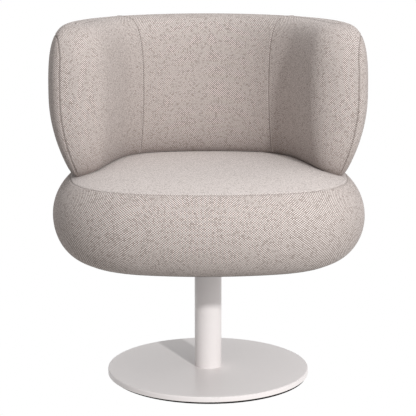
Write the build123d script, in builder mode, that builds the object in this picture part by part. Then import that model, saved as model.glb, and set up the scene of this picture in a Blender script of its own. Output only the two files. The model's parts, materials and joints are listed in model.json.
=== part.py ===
from build123d import *
from math import acos, atan2, cos, degrees, hypot, radians, sin, sqrt
import os

# Swivel tub chair: a padded seat and a wraparound back that turn on one column over a round base plate.
# Millimetres. The origin lies on the floor under the column axis, Z points up and the seat faces -Y.

# Base plate and glides
glide_height = 4
glide_dia = 19
glide_stem_dia = 8
glide_stem_height = 8
glide_count = 5
glide_circle = 207
glide_start = -68
plate_dia = 450
plate_thick = 12
plate_top_round = 3
plate_under_round = 1
plate_top = glide_height + plate_thick

# Column
tube_dia = 60
tube_wall = 3
tube_top = 290
foot_plug_height = 18
foot_screw_dia = 8
foot_screw_circle = 17
foot_screw_count = 4
foot_screw_head_dia = 16
foot_screw_length = 26

# Swivel
spindle_dia = 30
running_gap = 0.05
bush_length = 40
bush_flange = 3
lower_bush_base = 130
thrust_gap = 0.15
thrust_thick = 2
thrust_dia = 56
clip_groove_depth = 1.5
clip_thick = 2
clip_dia = 38
spindle_washer_dia = 42
spindle_washer_thick = 2
spindle_tail = 8

# Mounting plate and seat board
mount_plate_dia = 180
mount_plate_thick = 6
mount_bolt_dia = 8
mount_bolt_circle = 70
mount_bolt_count = 4
mount_bolt_head_dia = 14
mount_bolt_head = 5
mount_washer_dia = 18
mount_washer_thick = 1.6
tee_flange_dia = 20
tee_flange_thick = 1.5
tee_barrel_dia = 11
board_thick = 18
board_inset = 42

# Seat cushion
seat_half_width = 339
seat_half_depth = 330
seat_corner_radius = 232.5
seat_side_bulge = 7
seat_front_bulge = 12.5
seat_under_board = 21.5
seat_lower_height = 97
seat_lower_inset = 87
seat_upper_height = 105
seat_upper_inset = 115
seat_seam_inset = 38
seat_crown = 23.5
seat_crown_reach = 162
seat_crown_power = 2.5
underside_edge_height = 3.5
column_hole_gap = 3

# Back cushion: slices with an outer arc, an inner arc, splayed and rounded arm ends, and a falling crest
back_sink = 20
back_widest_rise = 194
back_rise = 347
back_side_overhang = 5
back_rear_overhang = 8
back_inner_shift = 14
back_wall = 153.5
back_crest = 35.5
back_splay = 15
outer_draw = 60
inner_draw = 20
nose_draw = 34
inner_shoulder = 60
nose_shoulder = 95
shoulder_power = 3
crest_fall = 2.4
nose_reach = 112
nose_edge_share = 0.15
nose_lean = 10
seam_turn = 48
outer_seam_depth = 16
outer_seam_low_depth = 12

# Covers, frame and clearances
cover_thick = 1.5
cover_gap = 0.3
rail_gap = 0.8
open_drop = 15
part_gap = 0.15
post_dia = 22
post_wall = 2
post_depth = 85
post_turns = (-85, -30, 30, 85)
rail_drop = 64
rail_half_turn = 95
flange_dia = 50
flange_thick = 5
flange_screw_dia = 5
flange_screw_circle = 18
flange_screw_count = 3
flange_screw_length = 16
flange_screw_head_dia = 9
flange_screw_head = 2.5

# Levels that follow from the sizes
tube_bore = tube_dia - 2 * tube_wall
plug_dia = tube_bore - 2 * part_gap
bush_bore = spindle_dia + 2 * running_gap
flange_top = tube_top + bush_flange
thrust_base = flange_top + thrust_gap
mount_base = thrust_base + thrust_thick
board_base = mount_base + mount_plate_thick
board_top = board_base + board_thick
seat_bottom = board_base - seat_under_board
seat_middle = seat_bottom + seat_lower_height
washer_top = lower_bush_base - thrust_gap
clip_top = washer_top - spindle_washer_thick
spindle_base = clip_top - clip_thick - spindle_tail
post_base = board_top + flange_thick
seat_corner_x = seat_half_width - seat_corner_radius - seat_side_bulge
seat_corner_y = seat_half_depth - seat_corner_radius - seat_front_bulge
front_radius = seat_corner_radius + (seat_front_bulge**2 + seat_corner_x**2) / (2 * seat_front_bulge)
side_radius = seat_corner_radius + (seat_side_bulge**2 + seat_corner_y**2) / (2 * seat_side_bulge)
front_turn = degrees(atan2(seat_corner_x, front_radius - seat_half_depth + seat_corner_y))
side_turn = degrees(atan2(seat_corner_y, side_radius - seat_half_width + seat_corner_x))
seam_angle = acos(1 - seat_seam_inset / seat_upper_inset)
seat_seam = seat_middle + seat_upper_height * sin(seam_angle)
back_foot = seat_seam - back_sink
back_widest = back_foot + back_widest_rise
back_top = back_foot + back_rise
back_outer_radius = seat_half_width + back_side_overhang
back_inner_radius = back_outer_radius - back_wall
back_outer_y = seat_half_depth + back_rear_overhang - back_outer_radius
back_inner_y = back_outer_y + back_inner_shift
outer_shoulder = back_wall - inner_shoulder - back_crest
nose_front = back_outer_y - nose_reach
post_radius = back_outer_radius - post_depth
rail_height = back_top - rail_drop

os.makedirs("parts", exist_ok=True)


def ring_points(radius, count, start=0.0):
    turns = [radians(start + i * 360 / count) for i in range(count)]
    return [(radius * cos(a), radius * sin(a)) for a in turns]


def seat_outline(inset):
    # a rounded square of eight tangent arcs, drawn in by the inset
    for turn, reach, radius in ((0, seat_half_width, side_radius), (180, seat_half_width, side_radius)):
        middle = (reach - radius) * cos(radians(turn))
        CenterArc((middle, 0), radius - inset, turn - side_turn, 2 * side_turn)
    for turn, reach, radius in ((90, seat_half_depth, front_radius), (270, seat_half_depth, front_radius)):
        middle = (reach - radius) * sin(radians(turn))
        CenterArc((0, middle), radius - inset, turn - front_turn, 2 * front_turn)
    corner_turn = 90 - front_turn - side_turn
    firsts = {(1, 1): side_turn, (-1, 1): 90 + front_turn}
    firsts.update({(-1, -1): 180 + side_turn, (1, -1): 270 + front_turn})
    for (sx, sy), first in firsts.items():
        middle = (sx * seat_corner_x, sy * seat_corner_y)
        CenterArc(middle, seat_corner_radius - inset, first, corner_turn)


def moved(inset, height, outward, upward, grow):
    length = hypot(outward, upward)
    return inset - grow * outward / length, height + grow * upward / length


def band_profile(grow):
    # the rounded edge of the seat from its underside up to the seam
    points = []
    for turn in (90, 73, 56, 38, 18):
        a = radians(turn)
        inset = seat_lower_inset * (1 - cos(a))
        height = seat_middle - seat_lower_height * sin(a)
        points.append(moved(inset, height, cos(a) / seat_lower_inset, -sin(a) / seat_lower_height, grow))
    for share in (0, 0.36, 0.7):
        a = share * seam_angle
        inset = seat_upper_inset * (1 - cos(a))
        height = seat_middle + seat_upper_height * sin(a)
        points.append(moved(inset, height, cos(a) / seat_upper_inset, sin(a) / seat_upper_height, grow))
    points.append(moved(seat_seam_inset, seat_seam, 0.5, 0.87, grow))
    return points


def crown_profile(grow):
    # the crowned top panel from the seam to the middle
    points = [moved(seat_seam_inset, seat_seam, 0.5, 0.87, grow)]
    for share in (0.2, 0.42, 0.68, 1):
        inset = seat_seam_inset + share * seat_crown_reach
        height = seat_seam + seat_crown * (1 - (1 - share) ** seat_crown_power)
        slope = seat_crown * seat_crown_power / seat_crown_reach * (1 - share) ** (seat_crown_power - 1)
        points.append(moved(inset, height, slope, 1, grow))
    return points


def seat_solid(grow):
    with BuildPart() as body:
        for profile in (band_profile(grow), crown_profile(grow)):
            for inset, height in profile:
                with BuildSketch(Plane.XY.offset(height)):
                    with BuildLine():
                        seat_outline(inset)
                    make_face()
            loft()
    return body.part


def back_level(share):
    # sizes of a slice: share -1 at the foot, 0 at the widest level, 1 at the top
    if share < 0:
        height = back_widest + share * (back_widest - back_foot)
        bend = share**2
        outer = back_outer_radius - outer_draw * bend
        inner = back_inner_radius + inner_draw * bend
        front = nose_front + nose_draw * bend
    else:
        height = back_widest + share * (back_top - back_widest)
        bend = 1 - (1 - share**shoulder_power) ** (1 / shoulder_power)
        outer = back_outer_radius - outer_shoulder * bend
        inner = back_inner_radius + inner_shoulder * bend
        front = nose_front + nose_shoulder * bend
    return height, outer, inner, front


def nose(outer, inner, front):
    # end of an arm: a small edge arc inside the outer arc, then a broad front arc that touches the inner face
    edge = nose_edge_share * (outer - inner)
    into_x = cos(radians(back_splay))
    into_y = sin(radians(back_splay))
    meet_x = sin(radians(nose_lean))
    meet_y = -cos(radians(nose_lean))
    across = meet_x * into_x + meet_y * into_y
    low = front - 10
    high = front + 60
    for step in range(50):
        edge_y = (low + high) / 2
        edge_x = sqrt((outer - edge) ** 2 - (edge_y - back_outer_y) ** 2)
        reach = edge_x * into_x + (edge_y - back_inner_y) * into_y
        broad = (reach + edge * across - inner) / (1 + across)
        broad_x = edge_x - (broad - edge) * meet_x
        broad_y = edge_y - (broad - edge) * meet_y
        if broad_y - broad < front:
            low = edge_y
        else:
            high = edge_y
    return edge_x, edge_y, edge, broad_x, broad_y, broad


def back_outline(share, grow):
    height, outer, inner, front = back_level(share)
    edge_x, edge_y, edge, broad_x, broad_y, broad = nose(outer, inner, front)
    outer_turn = degrees(atan2(edge_y - back_outer_y, edge_x))
    edge_turn = 90 - nose_lean + outer_turn
    broad_turn = 90 - back_splay + nose_lean
    into_x = cos(radians(back_splay))
    into_y = sin(radians(back_splay))
    inner_end = ((inner - grow) * into_x, back_inner_y + (inner - grow) * into_y)
    inner_face = (broad_x - (broad + grow) * into_x, broad_y - (broad + grow) * into_y)
    CenterArc((0, back_outer_y), outer + grow, outer_turn, 90 - outer_turn)
    CenterArc((0, back_outer_y), outer + grow, 90, 90 - outer_turn)
    CenterArc((0, back_inner_y), inner - grow, back_splay, 90 - back_splay)
    CenterArc((0, back_inner_y), inner - grow, 90, 90 - back_splay)
    for side in (-1, 1):
        Line((side * inner_end[0], inner_end[1]), (side * inner_face[0], inner_face[1]))
    CenterArc((broad_x, broad_y), broad + grow, 180 + back_splay, broad_turn)
    CenterArc((-broad_x, broad_y), broad + grow, 270 - nose_lean, broad_turn)
    CenterArc((edge_x, edge_y), edge + grow, 270 + nose_lean, edge_turn)
    CenterArc((-edge_x, edge_y), edge + grow, 180 - outer_turn, edge_turn)


def back_solid(grow, drop=0):
    low = back_foot - grow
    stretch = (back_top + grow - low) / (back_top - back_foot)
    shares = [-1 - drop / (back_widest - back_foot), -0.9, -0.75, -0.6, -0.45, -0.3, -0.15, 0]
    shares += [0.25, 0.45, 0.6, 0.72, 0.82, 0.9, 0.955, 0.987, 1]
    with BuildPart() as body:
        for share in shares:
            height = low + (back_level(share)[0] - back_foot) * stretch
            fall = radians(crest_fall * max(share, 0))
            slope = (0, -sin(fall), cos(fall))
            with BuildSketch(Plane(origin=(0, 0, height), x_dir=(1, 0, 0), z_dir=slope)):
                with BuildLine():
                    back_outline(share, grow)
                make_face()
        loft()
    return body.part


def back_plane(turn):
    # radial plane at a turn from the rear: local x runs outward from the middle, local y up
    a = radians(turn)
    return Plane(origin=(0, 0, 0), x_dir=(sin(a), cos(a), 0), z_dir=(cos(a), -sin(a), 0))


def outer_region():
    # everything outside the seam that runs round the outer edge of the back
    far = back_outer_radius + 60
    high = back_top + 30
    half = (back_foot + back_widest) / 2
    bottom = (back_outer_radius - outer_draw - outer_seam_low_depth, back_foot)
    middle = (back_outer_radius - outer_draw / 4 - outer_seam_depth + 1, half)
    bend = (back_outer_radius - outer_seam_depth, back_widest)
    with BuildPart() as body:
        with BuildSketch(Plane.XZ.offset(-back_outer_y)):
            with BuildLine():
                Line((far, back_foot), bottom)
                ThreePointArc(bottom, middle, bend)
                Line(bend, (bend[0], high))
                Line((bend[0], high), (far, high))
                Line((far, high), (far, back_foot))
            make_face()
        revolve(axis=Axis((0, back_outer_y, 0), (0, 0, 1)))
    return body.part


def post_points():
    turns = [radians(turn) for turn in post_turns]
    return [(post_radius * sin(a), post_radius * cos(a)) for a in turns]


def rail_solid(radius):
    start = back_plane(-rail_half_turn)
    with BuildPart() as body:
        with BuildSketch(start):
            with Locations((post_radius, rail_height)):
                Circle(radius)
        revolve(axis=Axis((0, 0, 0), (0, 0, -1)), revolution_arc=2 * rail_half_turn)
    return body.part


def save(builder, name):
    builder.part.label = name
    export_step(builder.part, f"parts/{name}.step")


# Base plate: a round steel disc on five glides
glide_points = ring_points(glide_circle, glide_count, glide_start)
foot_screw_points = ring_points(foot_screw_circle, foot_screw_count, 45)
with BuildPart() as base_plate:
    with BuildSketch(Plane.XY.offset(glide_height)):
        Circle(plate_dia / 2)
    extrude(amount=plate_thick)
    fillet(base_plate.edges().group_by(Axis.Z)[-1], plate_top_round)
    fillet(base_plate.edges().group_by(Axis.Z)[0], plate_under_round)
    with BuildSketch(Plane.XY.offset(glide_height)):
        with Locations(*foot_screw_points):
            Circle(foot_screw_dia / 2 + part_gap)
    extrude(amount=plate_thick, mode=Mode.SUBTRACT)
    with Locations(*[Location((x, y, glide_height)) for x, y in foot_screw_points]):
        Cone(
            foot_screw_head_dia / 2 + part_gap,
            foot_screw_dia / 2 + part_gap,
            (foot_screw_head_dia - foot_screw_dia) / 2,
            align=(Align.CENTER, Align.CENTER, Align.MIN),
            mode=Mode.SUBTRACT,
        )
    with BuildSketch(Plane.XY.offset(glide_height)):
        with Locations(*glide_points):
            Circle(glide_stem_dia / 2 + part_gap)
    extrude(amount=glide_stem_height + part_gap, mode=Mode.SUBTRACT)
save(base_plate, "base_plate")

with BuildPart() as base_glides:
    with BuildSketch():
        with Locations(*glide_points):
            Circle(glide_dia / 2)
    extrude(amount=glide_height)
    chamfer(base_glides.edges().group_by(Axis.Z)[0], 0.8)
    with BuildSketch(Plane.XY.offset(glide_height)):
        with Locations(*glide_points):
            Circle(glide_stem_dia / 2)
    extrude(amount=glide_stem_height)
save(base_glides, "base_glides")

# Column: a straight tube closed at its foot by a plug that takes the screws from under the plate
with BuildPart() as column_tube:
    with BuildSketch(Plane.XY.offset(plate_top)):
        Circle(tube_dia / 2)
        Circle(tube_bore / 2, mode=Mode.SUBTRACT)
    extrude(amount=tube_top - plate_top)
save(column_tube, "column_tube")

with BuildPart() as column_plug:
    with BuildSketch(Plane.XY.offset(plate_top)):
        Circle(plug_dia / 2)
        with Locations(*foot_screw_points):
            Circle(foot_screw_dia / 2 + part_gap, mode=Mode.SUBTRACT)
    extrude(amount=foot_plug_height)
save(column_plug, "column_plug")

with BuildPart() as column_screws:
    with BuildSketch(Plane.XY.offset(glide_height)):
        with Locations(*foot_screw_points):
            Circle(foot_screw_dia / 2)
    extrude(amount=foot_screw_length)
    with Locations(*[Location((x, y, glide_height)) for x, y in foot_screw_points]):
        Cone(
            foot_screw_head_dia / 2,
            foot_screw_dia / 2,
            (foot_screw_head_dia - foot_screw_dia) / 2,
            align=(Align.CENTER, Align.CENTER, Align.MIN),
        )
    with BuildSketch(Plane.XY.offset(glide_height)):
        with Locations(*foot_screw_points):
            RegularPolygon(2.5, 6, major_radius=False)
    extrude(amount=2.6, mode=Mode.SUBTRACT)
save(column_screws, "column_screws")

# Bushes that carry the spindle in the column
with BuildPart() as lower_bush:
    with BuildSketch(Plane.XY.offset(lower_bush_base)):
        Circle(plug_dia / 2)
        Circle(bush_bore / 2, mode=Mode.SUBTRACT)
    extrude(amount=bush_length)
save(lower_bush, "lower_bush")

with BuildPart() as upper_bush:
    with BuildSketch(Plane.XY.offset(tube_top - bush_length)):
        Circle(plug_dia / 2)
    extrude(amount=bush_length)
    with BuildSketch(Plane.XY.offset(tube_top)):
        Circle(tube_dia / 2)
    extrude(amount=bush_flange)
    with BuildSketch(Plane.XY.offset(tube_top - bush_length)):
        Circle(bush_bore / 2)
    extrude(amount=bush_length + bush_flange, mode=Mode.SUBTRACT)
save(upper_bush, "upper_bush")

# Spindle with its thrust washer above and its washer and clip below
with BuildPart() as swivel_spindle:
    with BuildSketch(Plane.XY.offset(spindle_base)):
        Circle(spindle_dia / 2)
    extrude(amount=mount_base - spindle_base)
    chamfer(swivel_spindle.edges().group_by(Axis.Z)[0], 1.5)
    with BuildSketch(Plane.XY.offset(clip_top - clip_thick)):
        Circle(spindle_dia / 2 + 1)
        Circle(spindle_dia / 2 - clip_groove_depth, mode=Mode.SUBTRACT)
    extrude(amount=clip_thick, mode=Mode.SUBTRACT)
save(swivel_spindle, "swivel_spindle")

with BuildPart() as thrust_washer:
    with BuildSketch(Plane.XY.offset(thrust_base)):
        Circle(thrust_dia / 2)
        Circle(spindle_dia / 2 + part_gap, mode=Mode.SUBTRACT)
    extrude(amount=thrust_thick)
save(thrust_washer, "thrust_washer")

with BuildPart() as spindle_washer:
    with BuildSketch(Plane.XY.offset(clip_top)):
        Circle(spindle_washer_dia / 2)
        Circle(spindle_dia / 2 + part_gap, mode=Mode.SUBTRACT)
    extrude(amount=spindle_washer_thick)
save(spindle_washer, "spindle_washer")

with BuildPart() as spindle_clip:
    with BuildSketch(Plane.XY.offset(clip_top - clip_thick)):
        Circle(clip_dia / 2)
        Circle(spindle_dia / 2 - clip_groove_depth + part_gap, mode=Mode.SUBTRACT)
        with Locations((0, clip_dia / 2)):
            Rectangle(clip_dia / 3, clip_dia / 2, mode=Mode.SUBTRACT)
    extrude(amount=clip_thick)
save(spindle_clip, "spindle_clip")

# Mounting plate welded to the spindle, bolted up into the seat board
mount_points = ring_points(mount_bolt_circle, mount_bolt_count, 45)
with BuildPart() as mount_plate:
    with BuildSketch(Plane.XY.offset(mount_base)):
        Circle(mount_plate_dia / 2)
        with Locations(*mount_points):
            Circle(mount_bolt_dia / 2 + part_gap, mode=Mode.SUBTRACT)
    extrude(amount=mount_plate_thick)
save(mount_plate, "mount_plate")

with BuildPart() as mount_washers:
    with BuildSketch(Plane.XY.offset(mount_base - mount_washer_thick)):
        with Locations(*mount_points):
            Circle(mount_washer_dia / 2)
            Circle(mount_bolt_dia / 2 + part_gap, mode=Mode.SUBTRACT)
    extrude(amount=mount_washer_thick)
save(mount_washers, "mount_washers")

with BuildPart() as mount_bolts:
    with BuildSketch(Plane.XY.offset(mount_base - mount_washer_thick - mount_bolt_head)):
        with Locations(*mount_points):
            RegularPolygon(mount_bolt_head_dia / 2, 6)
    extrude(amount=mount_bolt_head)
    with BuildSketch(Plane.XY.offset(mount_base - mount_washer_thick)):
        with Locations(*mount_points):
            Circle(mount_bolt_dia / 2)
    extrude(amount=mount_washer_thick + mount_plate_thick + board_thick)
save(mount_bolts, "mount_bolts")

with BuildPart() as tee_nuts:
    with BuildSketch(Plane.XY.offset(board_base + board_thick / 3)):
        with Locations(*mount_points):
            Circle(tee_barrel_dia / 2)
    extrude(amount=board_thick * 2 / 3)
    with BuildSketch(Plane.XY.offset(board_top)):
        with Locations(*mount_points):
            Circle(tee_flange_dia / 2)
    extrude(amount=tee_flange_thick)
    with BuildSketch(Plane.XY.offset(board_base)):
        with Locations(*mount_points):
            Circle(mount_bolt_dia / 2 + part_gap)
    extrude(amount=board_thick + tee_flange_thick, mode=Mode.SUBTRACT)
save(tee_nuts, "tee_nuts")

flange_points = post_points()
flange_ring = ring_points(flange_screw_circle, flange_screw_count, 90)
flange_screw_points = [(x + dx, y + dy) for x, y in flange_points for dx, dy in flange_ring]
with BuildPart() as seat_board:
    with BuildSketch(Plane.XY.offset(board_base)):
        with BuildLine():
            seat_outline(board_inset)
        make_face()
        with Locations(*mount_points):
            Circle(tee_barrel_dia / 2 + part_gap, mode=Mode.SUBTRACT)
    extrude(amount=board_thick)
    with BuildSketch(Plane.XY.offset(board_top)):
        with Locations(*flange_screw_points):
            Circle(flange_screw_dia / 2 + part_gap)
    extrude(amount=-flange_screw_length - part_gap, mode=Mode.SUBTRACT)
save(seat_board, "seat_board")

# Steel frame of the back: a bent rail on four posts that pass through the seat and stand on flanges
with BuildPart() as post_flanges:
    with BuildSketch(Plane.XY.offset(board_top)):
        with Locations(*flange_points):
            Circle(flange_dia / 2)
        with Locations(*flange_screw_points):
            Circle(flange_screw_dia / 2 + part_gap, mode=Mode.SUBTRACT)
    extrude(amount=flange_thick)
save(post_flanges, "post_flanges")

with BuildPart() as flange_screws:
    with BuildSketch(Plane.XY.offset(post_base - flange_thick - flange_screw_length)):
        with Locations(*flange_screw_points):
            Circle(flange_screw_dia / 2)
    extrude(amount=flange_thick + flange_screw_length)
    with BuildSketch(Plane.XY.offset(post_base)):
        with Locations(*flange_screw_points):
            Circle(flange_screw_head_dia / 2)
    extrude(amount=flange_screw_head)
save(flange_screws, "flange_screws")

rail_outside = rail_solid(post_dia / 2)
with BuildPart() as back_rail:
    add(rail_outside)
    add(rail_solid(post_dia / 2 - post_wall), mode=Mode.SUBTRACT)
save(back_rail, "back_rail")

with BuildPart() as back_posts:
    with BuildSketch(Plane.XY.offset(post_base)):
        with Locations(*flange_points):
            Circle(post_dia / 2)
            Circle(post_dia / 2 - post_wall, mode=Mode.SUBTRACT)
    extrude(amount=rail_height - post_base)
    add(rail_solid(post_dia / 2 + part_gap), mode=Mode.SUBTRACT)
save(back_posts, "back_posts")

# Seat cushion: foam on the board under a cover of three panels
with BuildPart() as post_space:
    with BuildSketch(Plane.XY.offset(board_top)):
        with Locations(*flange_points):
            Circle(post_dia / 2 + cover_gap)
    extrude(amount=rail_height - board_top)
with BuildPart() as flange_space:
    with BuildSketch(Plane.XY.offset(board_top)):
        with Locations(*flange_points):
            Circle(flange_dia / 2 + cover_gap)
        with Locations(*mount_points):
            Circle(tee_flange_dia / 2 + cover_gap)
    extrude(amount=flange_thick + flange_screw_head + cover_gap)

seat_outside = seat_solid(0)
seat_inside = seat_solid(-cover_thick)
with BuildPart() as seat_foam:
    add(seat_solid(-cover_thick - cover_gap))
    with BuildSketch(Plane.XY.offset(board_base)):
        with BuildLine():
            seat_outline(board_inset - cover_gap)
        make_face()
    extrude(amount=board_thick, mode=Mode.SUBTRACT)
    with BuildSketch(Plane.XY.offset(seat_bottom)):
        Circle(mount_plate_dia / 2 + 10)
    extrude(amount=board_base - seat_bottom, mode=Mode.SUBTRACT)
    add(post_space.part, mode=Mode.SUBTRACT)
    add(flange_space.part, mode=Mode.SUBTRACT)
save(seat_foam, "seat_foam")

with BuildPart() as seat_shell:
    add(seat_outside)
    add(seat_inside, mode=Mode.SUBTRACT)
underside_edge = seat_bottom + underside_edge_height
with BuildPart() as seat_cover_top:
    add(seat_shell.part)
    split(bisect_by=Plane.XY.offset(seat_seam), keep=Keep.TOP)
    add(post_space.part, mode=Mode.SUBTRACT)
save(seat_cover_top, "seat_cover_top")

with BuildPart() as seat_cover_band:
    add(seat_shell.part)
    split(bisect_by=Plane.XY.offset(seat_seam), keep=Keep.BOTTOM)
    split(bisect_by=Plane.XY.offset(underside_edge), keep=Keep.TOP)
save(seat_cover_band, "seat_cover_band")

with BuildPart() as seat_cover_underside:
    add(seat_shell.part)
    split(bisect_by=Plane.XY.offset(underside_edge), keep=Keep.BOTTOM)
    with BuildSketch(Plane.XY.offset(seat_bottom)):
        Circle(tube_dia / 2 + column_hole_gap)
    extrude(amount=2 * cover_thick, both=True, mode=Mode.SUBTRACT)
save(seat_cover_underside, "seat_cover_underside")

# Back cushion: foam round the frame under a cover of four panels, resting on the seat
seat_space = seat_solid(cover_gap)
with BuildPart() as back_foam:
    add(back_solid(-cover_thick - cover_gap, open_drop))
    add(seat_space, mode=Mode.SUBTRACT)
    add(rail_solid(post_dia / 2 + rail_gap), mode=Mode.SUBTRACT)
    add(post_space.part, mode=Mode.SUBTRACT)
save(back_foam, "back_foam")

with BuildPart() as back_shell:
    add(back_solid(0))
    add(back_solid(-cover_thick, open_drop), mode=Mode.SUBTRACT)
    add(seat_space, mode=Mode.SUBTRACT)
beyond_seam = outer_region()
with BuildPart() as back_cover_outer:
    add(back_shell.part)
    add(beyond_seam, mode=Mode.INTERSECT)
save(back_cover_outer, "back_cover_outer")

# upright seams between the centre panel and the side panels
seam_planes = {}
for side in (-1, 1):
    a = radians(side * seam_turn)
    facing = (side * cos(a), -side * sin(a), 0)
    seam_planes[side] = Plane(origin=(0, back_inner_y, 0), x_dir=(0, 0, 1), z_dir=facing)
with BuildPart() as back_cover_centre:
    add(back_shell.part)
    add(beyond_seam, mode=Mode.SUBTRACT)
    split(bisect_by=seam_planes[-1], keep=Keep.BOTTOM)
    split(bisect_by=seam_planes[1], keep=Keep.BOTTOM)
save(back_cover_centre, "back_cover_centre")

for side, panel_name in ((-1, "back_cover_left"), (1, "back_cover_right")):
    with BuildPart() as side_panel:
        add(back_shell.part)
        add(beyond_seam, mode=Mode.SUBTRACT)
        split(bisect_by=seam_planes[side], keep=Keep.TOP)
    save(side_panel, panel_name)
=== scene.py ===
import bpy
import json
from collections import namedtuple
from math import acos, asin, atan2, cos, hypot, pi, radians, sin
import numpy as np
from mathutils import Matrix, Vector
from mathutils.kdtree import KDTree


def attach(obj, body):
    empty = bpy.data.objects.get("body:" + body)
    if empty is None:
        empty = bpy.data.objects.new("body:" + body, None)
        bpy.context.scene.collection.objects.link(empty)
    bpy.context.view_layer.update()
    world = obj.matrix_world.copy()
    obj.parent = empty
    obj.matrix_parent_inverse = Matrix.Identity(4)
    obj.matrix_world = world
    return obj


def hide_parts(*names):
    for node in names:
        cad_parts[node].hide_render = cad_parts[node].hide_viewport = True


# Swivel tub chair: a padded seat and a wraparound padded back on one column over a round plate.
# Metres, the same frame as the hard parts: origin on the floor under the column, the seat faces -Y.
# The soft parts are worked out in millimetres and become metres when their meshes are made.

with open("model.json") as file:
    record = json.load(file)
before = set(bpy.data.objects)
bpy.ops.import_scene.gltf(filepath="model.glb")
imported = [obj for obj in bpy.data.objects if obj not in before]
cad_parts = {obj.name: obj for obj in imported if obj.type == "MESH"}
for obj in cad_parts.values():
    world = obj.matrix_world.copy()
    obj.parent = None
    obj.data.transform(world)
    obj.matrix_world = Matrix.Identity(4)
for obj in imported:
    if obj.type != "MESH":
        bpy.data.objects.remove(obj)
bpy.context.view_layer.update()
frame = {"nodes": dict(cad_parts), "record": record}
scene = bpy.context.scene
MM = 0.001

# Seat cushion: a rounded square of arcs in plan, with a rounded edge up to the seam and a crowned top
SEAT_HALF_WIDTH = 339
SEAT_HALF_DEPTH = 330
SEAT_CORNER = 232.5
SEAT_CORNER_X = 99.5
SEAT_CORNER_Y = 85
SEAT_BOTTOM = 279.65
SEAT_LOW = 97
SEAT_LOW_INSET = 87
SEAT_HIGH = 105
SEAT_HIGH_INSET = 115
SEAM_INSET = 38
CROWN = 23.5
CROWN_REACH = 162
CROWN_POWER = 2.5
POCKET_RADIUS = 100
POCKET_TOP = 302

# Cloth under the seat, from the hole for the column to the hem
HEM_HEIGHT = 3.5
CLOTH = 1.5
AIR = 0.3
COLUMN_HOLE = 33
UNDER_CLOTH_FLAT = 110

# Back cushion: slices with an outer arc, an inner arc, splayed and rounded arm ends, and a falling crest
BACK_FOOT = 434.63
BACK_WIDEST = 628.63
BACK_TOP = 781.63
CREST_FALL = radians(2.4)
OUTER_Y = -6
INNER_Y = 8
OUTER_RADIUS = 344
INNER_RADIUS = 190.5
SPLAY = radians(15)
OUTER_DRAW = 60
INNER_DRAW = 20
NOSE_DRAW = 34
OUTER_SHOULDER = 58
INNER_SHOULDER = 60
NOSE_SHOULDER = 95
SHOULDER_POWER = 3
NOSE_FRONT = -118
EDGE_SHARE = 0.15
LEAN = radians(10)
SEAM_TURN = radians(48)
OUTER_SEAM = 16
OUTER_SEAM_LOW = 12
OUTER_SEAM_BOW = 1
FOOT_GAP = 0.5
TUCK = 6
TUCK_HEIGHT = 14

# Cover: how far it is drawn in and pressed out again, its stitching, and how far its painted shade and
# painted highlights reach
SLACK = 0.9
FILLING_PRESSURE = 80
SWELL_FRAMES = 20
SMOOTHING_ROUNDS = 24
SEWN_WIDTH = 1.5
STITCH_FILL = 0.5
ROLL_AT = 2.3
ROLL_SHARE = 0.3
# Place and width of the painted highlight beside the upright seams
HIGHLIGHT_AT = 2.4
HIGHLIGHT_WIDTH = 1.0
# Height over which the painted shade at the back's foot fades
CREASE_SHADE_FADE = 32
# Edge and depth of the painted sheen on the seat's top panel
TOP_SHEEN_FADE = 3
TOP_SHEEN_DEPTH = 20

# Columns and rows of the seat's mesh, which lie closer beside the seam
OUTLINE_STEPS = 7200
OUTLINE_INSET = 60
SEAT_COLUMNS = 260
HEM_ROWS = 6
LOW_EDGE_ROWS = 16
HIGH_EDGE_ROWS = 9
SEAM_ROWS = 6
CROWN_ROWS = 20
MIDDLE_ROWS = 12
BESIDE_SEAM_ANGLE = 0.09
BESIDE_SEAM_SHARE = 0.06
SEAT_HEM_STEP = 0.01
POCKET_MAP = -200
UNDER_CLOTH_COLUMNS = 160
UNDER_CLOTH_HEM_STEP = 0.004

# Columns of half a slice of the back, from the rear to an arm's tip, and rows from the seat to the top
HALF = 112
EDGE_STEPS = 14
REAR_STEPS = 32
BAND_STEPS = 12
BAND = 11.5
ARC_STEPS = 58
LINE_STEPS = 14
LOW_ROWS = 58
EDGE_ROWS = 8
TOP_ROWS = 12
BACK_ROWS = LOW_ROWS + EDGE_ROWS + TOP_ROWS
EDGE_BAND = 8
HELD_BACK_ROWS = 2
FOOT_CAP_STEPS = 7
TOP_CAP_STEPS = 4

# Searches along the back: shares of its height, and how far from its front an arm's edge arc may lie
LOWEST_SHARE = -1.1
HIGHEST_FOOT_SHARE = 0.2
SEAM_FOOT_SHARE = -1.05
CLOSE_SHARE = 0.9
RUN_STEPS = 4000
SEAM_STEPS = 300
SEAM_TOP_STEPS = 200
SEAM_FINENESS = 6
NOSE_SEARCH = (-10, 60)
HALVINGS = 45

# Radii, turns and levels that follow from the sizes
FRONT_RADIUS = (SEAT_CORNER**2 - SEAT_CORNER_X**2 - (SEAT_CORNER_Y - SEAT_HALF_DEPTH) ** 2) / (
    2 * (SEAT_CORNER_Y - SEAT_HALF_DEPTH + SEAT_CORNER)
)
SIDE_RADIUS = (SEAT_CORNER**2 - SEAT_CORNER_Y**2 - (SEAT_CORNER_X - SEAT_HALF_WIDTH) ** 2) / (
    2 * (SEAT_CORNER_X - SEAT_HALF_WIDTH + SEAT_CORNER)
)
FRONT_TURN = atan2(SEAT_CORNER_X, FRONT_RADIUS - SEAT_HALF_DEPTH + SEAT_CORNER_Y)
SIDE_TURN = atan2(SEAT_CORNER_Y, SIDE_RADIUS - SEAT_HALF_WIDTH + SEAT_CORNER_X)
SEAT_MIDDLE = SEAT_BOTTOM + SEAT_LOW
SEAM_ANGLE = acos(1 - SEAM_INSET / SEAT_HIGH_INSET)
SEAM_Z = SEAT_MIDDLE + SEAT_HIGH * sin(SEAM_ANGLE)
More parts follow.
